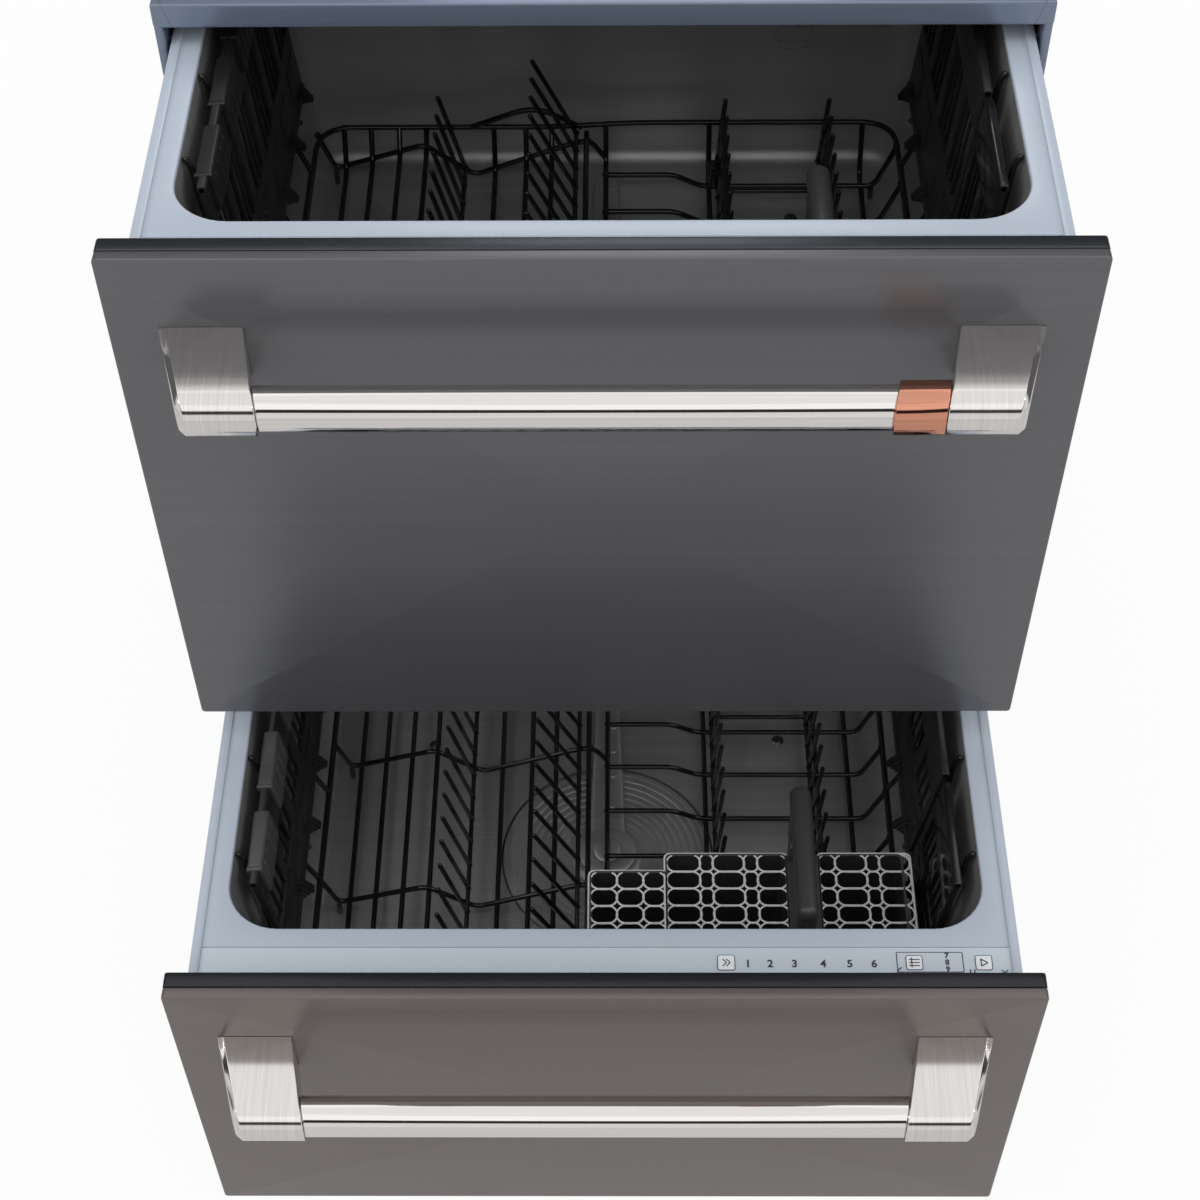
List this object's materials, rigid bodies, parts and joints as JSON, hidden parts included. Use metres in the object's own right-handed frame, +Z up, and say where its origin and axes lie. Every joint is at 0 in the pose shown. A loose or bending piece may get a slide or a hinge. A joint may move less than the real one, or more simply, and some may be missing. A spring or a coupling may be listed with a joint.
{
  "type": "double drawer dishwasher",
  "caption": "Built-in dishwasher with two stacked drawers, both part open, with wire racks, cutlery baskets, folding tines and bar handles",
  "frame": {"origin": "on the floor under the middle of the object as drawn, under the front plane of the frame that the closed drawers meet", "axes": "X to the right seen from the front, Y into the cabinet, Z up; the drawers pull out along -Y"},
  "size_m": [0.599, 1.1106, 0.863],
  "materials": {
    "upper_graphite_steel": "dark stainless, finely brushed across, satin",
    "lower_graphite_steel": "dark stainless, finely brushed across, satin, a shade warmer",
    "satin_nickel": "die-cast alloy with satin nickel plating, finely brushed",
    "copper_plate": "polished copper plating",
    "slate_paint": "satin slate-blue powder coat",
    "pale_blue_plastic": "light blue-grey moulded plastic, satin",
    "liner_steel": "brushed stainless sheet, dim in the deep tub",
    "black_plastic": "black moulded plastic, fine grain",
    "coated_wire": "steel wire dipped in black nylon, glossy bends",
    "basket_plastic": "grey moulded plastic with a paler lattice",
    "zinc_steel": "zinc-coated sheet steel",
    "grey_plastic": "mid-grey moulded plastic",
    "foot_rubber": "black rubber pad on a threaded stem"
  },
  "bodies": {
    "chassis": {"chassis_shell": "zinc_steel", "front_frame": "slate_paint", "toe_kick": "black_plastic", "front_left_foot": "foot_rubber", "front_right_foot": "foot_rubber", "rear_left_foot": "foot_rubber", "rear_right_foot": "foot_rubber", "upper_left_outer_rail": "zinc_steel", "upper_right_outer_rail": "zinc_steel", "lower_left_outer_rail": "zinc_steel", "lower_right_outer_rail": "zinc_steel"},
    "upper_lid_body": {"upper_lid": "grey_plastic"},
    "upper_runners": {"upper_left_middle_rail": "zinc_steel", "upper_right_middle_rail": "zinc_steel"},
    "upper_drawer": {"upper_front_panel": "upper_graphite_steel", "upper_panel_backing": "black_plastic", "upper_control_panel": "pale_blue_plastic", "upper_tub": "liner_steel", "upper_tub_rim": "pale_blue_plastic", "upper_handle_bar": "satin_nickel", "upper_handle_left_bracket": "satin_nickel", "upper_handle_right_bracket": "satin_nickel", "upper_handle_band": "copper_plate", "upper_wash_motor": "grey_plastic", "upper_filter_plate": "liner_steel", "upper_rack": "coated_wire", "upper_left_side_frame": "coated_wire", "upper_right_side_frame": "coated_wire", "upper_plate_insert": "coated_wire", "upper_cutlery_basket": "basket_plastic"},
    "upper_spray_rotor": {"upper_spray_arm": "grey_plastic"},
    "upper_outer_tine_row": {"upper_outer_tines": "coated_wire"},
    "upper_middle_tine_row": {"upper_middle_tines": "coated_wire"},
    "upper_left_cup_shelf": {"upper_left_cup_rack": "black_plastic"},
    "upper_right_cup_shelf": {"upper_right_cup_rack": "black_plastic"},
    "upper_dispenser_flap": {"upper_dispenser_door": "grey_plastic"},
    "lower_lid_body": {"lower_lid": "grey_plastic"},
    "lower_runners": {"lower_left_middle_rail": "zinc_steel", "lower_right_middle_rail": "zinc_steel"},
    "lower_drawer": {"lower_front_panel": "lower_graphite_steel", "lower_panel_backing": "black_plastic", "lower_control_panel": "pale_blue_plastic", "lower_tub": "liner_steel", "lower_tub_rim": "pale_blue_plastic", "lower_handle_bar": "satin_nickel", "lower_handle_left_bracket": "satin_nickel", "lower_handle_right_bracket": "satin_nickel", "lower_wash_motor": "grey_plastic", "lower_filter_plate": "liner_steel", "lower_rack": "coated_wire", "lower_left_side_frame": "coated_wire", "lower_right_side_frame": "coated_wire", "lower_plate_insert": "coated_wire", "lower_cutlery_basket": "basket_plastic"},
    "lower_spray_rotor": {"lower_spray_arm": "grey_plastic"},
    "lower_outer_tine_row": {"lower_outer_tines": "coated_wire"},
    "lower_middle_tine_row": {"lower_middle_tines": "coated_wire"},
    "lower_left_cup_shelf": {"lower_left_cup_rack": "black_plastic"},
    "lower_right_cup_shelf": {"lower_right_cup_rack": "black_plastic"},
    "lower_dispenser_flap": {"lower_dispenser_door": "grey_plastic"}
  },
  "joints": [
    {"name": "upper_drawer_slide", "type": "slide", "parent": "chassis", "child": "upper_drawer", "axis": [0, -1, 0], "range_m": [-0.2294, 0.2706]},
    {"name": "upper_runner_slide", "type": "slide", "parent": "chassis", "child": "upper_runners", "axis": [0, -1, 0], "range_m": [-0.1148, 0.1354]},
    {"name": "upper_lid_lift", "type": "slide", "parent": "chassis", "child": "upper_lid_body", "axis": [0, 0, 1], "range_m": [-0.004, 0]},
    {"name": "upper_spray_spin", "type": "hinge", "parent": "upper_drawer", "child": "upper_spray_rotor", "pos_m": [0, 0.0341, 0.552], "axis": [0, 0, 1], "continuous": true},
    {"name": "upper_outer_tines_fold", "type": "hinge", "parent": "upper_drawer", "child": "upper_outer_tine_row", "pos_m": [-0.115, 0.0331, 0.57022], "axis": [0, 1, 0], "range_deg": [0, 84]},
    {"name": "upper_middle_tines_fold", "type": "hinge", "parent": "upper_drawer", "child": "upper_middle_tine_row", "pos_m": [-0.024, 0.0331, 0.5963], "axis": [0, 1, 0], "range_deg": [-56, 0]},
    {"name": "upper_left_cup_rack_fold", "type": "hinge", "parent": "upper_drawer", "child": "upper_left_cup_shelf", "pos_m": [-0.24, 0.0261, 0.658], "axis": [0, 1, 0], "range_deg": [0, 95]},
    {"name": "upper_right_cup_rack_fold", "type": "hinge", "parent": "upper_drawer", "child": "upper_right_cup_shelf", "pos_m": [0.24, 0.0741, 0.658], "axis": [0, -1, 0], "range_deg": [0, 95]},
    {"name": "upper_dispenser_hinge", "type": "hinge", "parent": "upper_drawer", "child": "upper_dispenser_flap", "pos_m": [-0.14, -0.1586, 0.732], "axis": [-1, 0, 0], "range_deg": [0, 85]},
    {"name": "lower_drawer_slide", "type": "slide", "parent": "chassis", "child": "lower_drawer", "axis": [0, -1, 0], "range_m": [-0.467, 0.033]},
    {"name": "lower_runner_slide", "type": "slide", "parent": "chassis", "child": "lower_runners", "axis": [0, -1, 0], "range_m": [-0.2336, 0.0166]},
    {"name": "lower_lid_lift", "type": "slide", "parent": "chassis", "child": "lower_lid_body", "axis": [0, 0, 1], "range_m": [-0.004, 0]},
    {"name": "lower_spray_spin", "type": "hinge", "parent": "lower_drawer", "child": "lower_spray_rotor", "pos_m": [0, -0.2035, 0.157], "axis": [0, 0, 1], "continuous": true},
    {"name": "lower_outer_tines_fold", "type": "hinge", "parent": "lower_drawer", "child": "lower_outer_tine_row", "pos_m": [-0.115, -0.2045, 0.17523], "axis": [0, 1, 0], "range_deg": [0, 84]},
    {"name": "lower_middle_tines_fold", "type": "hinge", "parent": "lower_drawer", "child": "lower_middle_tine_row", "pos_m": [-0.024, -0.2045, 0.2013], "axis": [0, 1, 0], "range_deg": [-56, 0]},
    {"name": "lower_left_cup_rack_fold", "type": "hinge", "parent": "lower_drawer", "child": "lower_left_cup_shelf", "pos_m": [-0.24, -0.2115, 0.263], "axis": [0, 1, 0], "range_deg": [0, 95]},
    {"name": "lower_right_cup_rack_fold", "type": "hinge", "parent": "lower_drawer", "child": "lower_right_cup_shelf", "pos_m": [0.24, -0.1635, 0.263], "axis": [0, -1, 0], "range_deg": [0, 95]},
    {"name": "lower_dispenser_hinge", "type": "hinge", "parent": "lower_drawer", "child": "lower_dispenser_flap", "pos_m": [-0.14, -0.3962, 0.286], "axis": [-1, 0, 0], "range_deg": [0, 85]}
  ],
  "couplings": [
    {"joint": "upper_runner_slide", "follows": "upper_drawer_slide", "ratio": 0.5},
    {"joint": "lower_runner_slide", "follows": "lower_drawer_slide", "ratio": 0.5}
  ]
}
